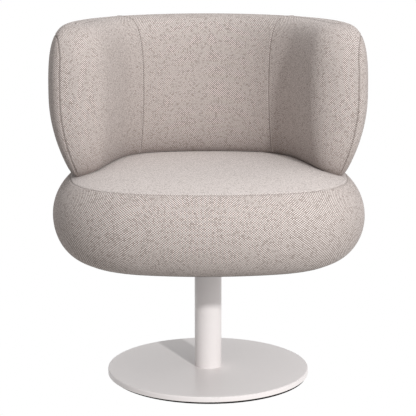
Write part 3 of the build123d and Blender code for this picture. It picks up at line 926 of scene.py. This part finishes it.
def woven_fabric():
    """Plain weave of flecked yarn: cream, greige and grey-brown fibres, drawn tight along the seams."""
    material, tree, shader = new_material("woven_fabric")
    tone, dome = weave(tree, COVER_PITCH)
    fleck = (tone - 0.5) * FLECK_CONTRAST + 0.5
    dark = mix_colour((fleck * 2).clamp(), DARK_FLECK, GREIGE_FLECK)
    colour = mix_colour((fleck * 2 - 1).clamp(), dark, CREAM_FLECK)
    colour = mix_colour((1 - dome) * YARN_GAP_SHARE, colour, BETWEEN_YARNS)
    # Painted shade at the back's foot, darker towards the seat
    colour = mix_colour(marked(tree, "painted_crease_shade") * CREASE_SHADE_SHARE, colour, PAINTED_CREASE_SHADE)
    # Painted sheen that makes the seat's top panel lighter
    colour = mix_colour(marked(tree, "painted_top_sheen") * TOP_SHEEN_SHARE, colour, PAINTED_TOP_SHEEN)
    # Painted highlight beside the upright seams
    colour = mix_colour(marked(tree, "painted_edge_highlight"), colour, PAINTED_EDGE_HIGHLIGHT)
    # Painted shade in the seam grooves
    colour = mix_colour(marked(tree, "painted_groove_shade"), colour, PAINTED_GROOVE_SHADE)
    relief = bumped(dome + (fleck - 0.5) * FLECK_RELIEF, strength=0.25, distance=0.0005)
    set_sockets(shader, Base_Color=colour, Roughness=0.95, Normal=relief)
    set_sockets(shader, Specular_IOR_Level=0.15, Sheen_Weight=0.1, Sheen_Roughness=0.5)
    return material


def under_cloth_fabric():
    """Thin dark dust cloth with an open weave."""
    material, tree, shader = new_material("under_cloth")
    tone, dome = weave(tree, UNDER_CLOTH_PITCH)
    colour = mix_colour((tone * dome).clamp(), DARK_DUST_CLOTH, LIGHT_DUST_CLOTH)
    relief = bumped(dome, strength=0.3, distance=0.0002)
    set_sockets(shader, Base_Color=colour, Roughness=0.95, Normal=relief)
    return material


# Hard finishes, and the foam: two tones, the scale and stretch of the grain, and the surface
GRAIN_ROUGHNESS = 0.14
GRAIN_DEPTH = 0.0003
GRAIN_DETAIL = 3.0
HARD_GLOSS = 0.65
GRAINED = {
    "powder_coat": {
        "dark": rgb(0.84, 0.795, 0.785),
        "light": rgb(0.88, 0.835, 0.825),
        "scale": 900,
        "roughness": 0.34,
    },
    "glide_plastic": {
        "dark": rgb(0.48, 0.45, 0.42),
        "light": rgb(0.54, 0.51, 0.48),
        "scale": 700,
        "roughness": 0.5,
    },
    "bearing_plastic": {
        "dark": rgb(0.76, 0.75, 0.72),
        "light": rgb(0.8, 0.79, 0.76),
        "scale": 300,
        "stretch": (1, 1, 8),
        "roughness": 0.45,
    },
    "plain_steel": {
        "dark": rgb(0.54, 0.54, 0.55),
        "light": rgb(0.64, 0.64, 0.65),
        "scale": 160,
        "stretch": (1, 1, 6),
        "roughness": 0.35,
        "metallic": 1.0,
    },
    "plywood": {
        "dark": rgb(0.46, 0.33, 0.21),
        "light": rgb(0.62, 0.48, 0.33),
        "scale": 60,
        "stretch": (0.15, 1, 1),
        "roughness": 0.6,
        "relief": 0.2,
    },
    "foam": {
        "dark": rgb(0.74, 0.71, 0.62),
        "light": rgb(0.86, 0.83, 0.74),
        "scale": 500,
        "roughness": 0.9,
        "relief": 0.5,
    },
}


def grained(name, dark, light, scale, roughness, stretch=(1, 1, 1), metallic=0.0, relief=0.08):
    """A finish with a fine grain: two tones, a roughness that follows it and a shallow relief."""
    material, tree, shader = new_material(name)
    place = make_node(tree, "ShaderNodeTexCoord", {}, {}, 3)
    settings = {"vector_type": "POINT"}
    place = make_node(tree, "ShaderNodeMapping", settings, {"Vector": place, "Scale": stretch})
    sockets = {"Vector": place, "Scale": scale, "Detail": GRAIN_DETAIL}
    grain = make_node(tree, "ShaderNodeTexNoise", {}, sockets)
    colour = mix_colour(((grain - 0.5) * 2 + 0.5).clamp(), dark, light)
    rough = grain * GRAIN_ROUGHNESS + (roughness - GRAIN_ROUGHNESS / 2)
    set_sockets(shader, Base_Color=colour, Roughness=rough, Normal=bumped(grain, relief, GRAIN_DEPTH))
    set_sockets(shader, Metallic=metallic, Specular_IOR_Level=HARD_GLOSS)
    return material


finishes = {"woven_fabric": woven_fabric(), "under_cloth": under_cloth_fabric()}
for name, look in GRAINED.items():
    finishes[name] = grained(name, **look)
slots = {part["node"]: part["material_slot"] for part in frame["record"]["subparts"]}
for node, obj in frame["nodes"].items():
    for place in obj.material_slots:
        place.material = finishes[slots[node]]
for obj, finish in ((seat, "woven_fabric"), (back, "woven_fabric"), (under_cloth, "under_cloth")):
    obj.data.materials.append(finishes[finish])
    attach(obj, "seat")
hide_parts("seat_foam", "seat_cover_top", "seat_cover_band")
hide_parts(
    "back_foam", "back_cover_outer", "back_cover_centre", "back_cover_left", "back_cover_right"
)
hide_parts("seat_cover_underside")

# Light: a room that is white to the camera and in gloss, and dimmer from below, the left and behind
SKY_BELOW = rgb(0.52, 0.50, 0.48)
SKY_ABOVE = rgb(0.85, 0.85, 0.86)
ROOM_STRENGTH = 0.77
FROM_RIGHT = 0.34
FROM_BEHIND = -0.14
KEY_PLACE = (1.15, -2.71, 1.6)
KEY_AIM = (0, 0, 0.4)
KEY_SIZE = 0.14
KEY_POWER = 56
TOP_PLACE = (0.1, 0.2, 2.7)
TOP_AIM = (0, 0, 0.45)
TOP_SIZE = 1.4
TOP_POWER = 11


def white_room():
    """The world: its light on the chair, and plain white where it is seen."""
    world = bpy.data.worlds.new("white_room")
    scene.world = world
    world.use_nodes = True
    tree = world.node_tree
    tree.nodes.clear()
    path = ("ShaderNodeLightPath", {}, {})
    seen = (make_node(tree, *path, "Is Camera Ray") + make_node(tree, *path, "Is Glossy Ray")).clamp()
    way = ("ShaderNodeSeparateXYZ", {}, {0: make_node(tree, "ShaderNodeTexCoord", {}, {}, 0)})
    x, y, z = (make_node(tree, *way, axis) for axis in range(3))
    sky = mix_colour((z * 0.5 + 0.5).clamp(), SKY_BELOW, SKY_ABOVE)
    side = x * FROM_RIGHT + y * FROM_BEHIND + ROOM_STRENGTH
    sockets = {"Color": mix_colour(seen, sky, rgb(1, 1, 1)), "Strength": side + (1 - side) * seen}
    background = make_node(tree, "ShaderNodeBackground", {}, sockets)
    output = tree.nodes.new("ShaderNodeOutputWorld")
    tree.links.new(background.socket, output.inputs[0])


def square_lamp(name, place, aim, size, power):
    """A square lamp at a place, turned to what it is aimed at."""
    data = bpy.data.lights.new(name, "AREA")
    data.shape = "RECTANGLE"
    data.size = data.size_y = size
    data.energy = power
    obj = bpy.data.objects.new(name, data)
    obj.location = place
    obj.rotation_euler = (Vector(aim) - Vector(place)).to_track_quat("-Z", "Y").to_euler()
    scene.collection.objects.link(obj)


white_room()
square_lamp("key", KEY_PLACE, KEY_AIM, KEY_SIZE, KEY_POWER)
square_lamp("top", TOP_PLACE, TOP_AIM, TOP_SIZE, TOP_POWER)

# Shade that the plate throws on the floor under its rim
SHADE_RADIUS = 0.2185
SHADE_PLACE = (0.002, -0.0045, 0.0002)
SHADE_STEPS = 96
SHADE_COLOUR = rgb(0.05, 0.045, 0.04)


def build_floor_shade():
    """A dark disc on the floor, a little in front of the middle of the plate."""
    turns = np.linspace(0, 2 * pi, SHADE_STEPS, endpoint=False)
    rim = [(SHADE_RADIUS * cos(t), SHADE_RADIUS * sin(t), 0) for t in turns]
    faces = [(0, k, k % SHADE_STEPS + 1) for k in range(1, SHADE_STEPS + 1)]
    mesh = bpy.data.meshes.new("floor_shade")
    mesh.from_pydata([(0, 0, 0)] + rim, [], faces)
    material, tree, shader = new_material("floor_shade")
    set_sockets(shader, Base_Color=SHADE_COLOUR, Roughness=1.0, Specular_IOR_Level=0.0)
    mesh.materials.append(material)
    obj = bpy.data.objects.new("floor_shade", mesh)
    obj.location = SHADE_PLACE
    scene.collection.objects.link(obj)
    return obj


floor_shade = build_floor_shade()

# Camera, worked out from the base plate's outline in the photograph: pixels, millimetres of film, metres
PHOTO_PIXELS = 416
FOCAL_PIXELS = 1288.4
SIDE_PIXELS = 0.1
FILM_WIDTH = 36
CAMERA_DISTANCE = 2.8
CAMERA_HEIGHT = 0.8845
CAMERA_TURN = radians(-1.7)
CAMERA_DIP = radians(10.29)


def place_camera():
    """The photograph's camera, which looks down a little at the front of the chair."""
    data = bpy.data.cameras.new("camera")
    data.sensor_width = FILM_WIDTH
    data.lens = FOCAL_PIXELS / PHOTO_PIXELS * FILM_WIDTH
    camera = bpy.data.objects.new("camera", data)
    x, y = CAMERA_DISTANCE * sin(CAMERA_TURN), -CAMERA_DISTANCE * cos(CAMERA_TURN)
    camera.location = (x, y, CAMERA_HEIGHT)
    camera.rotation_euler = (pi / 2 - CAMERA_DIP, 0, CAMERA_TURN + SIDE_PIXELS / FOCAL_PIXELS)
    scene.collection.objects.link(camera)
    scene.camera = camera


place_camera()
scene.view_settings.view_transform = "Standard"
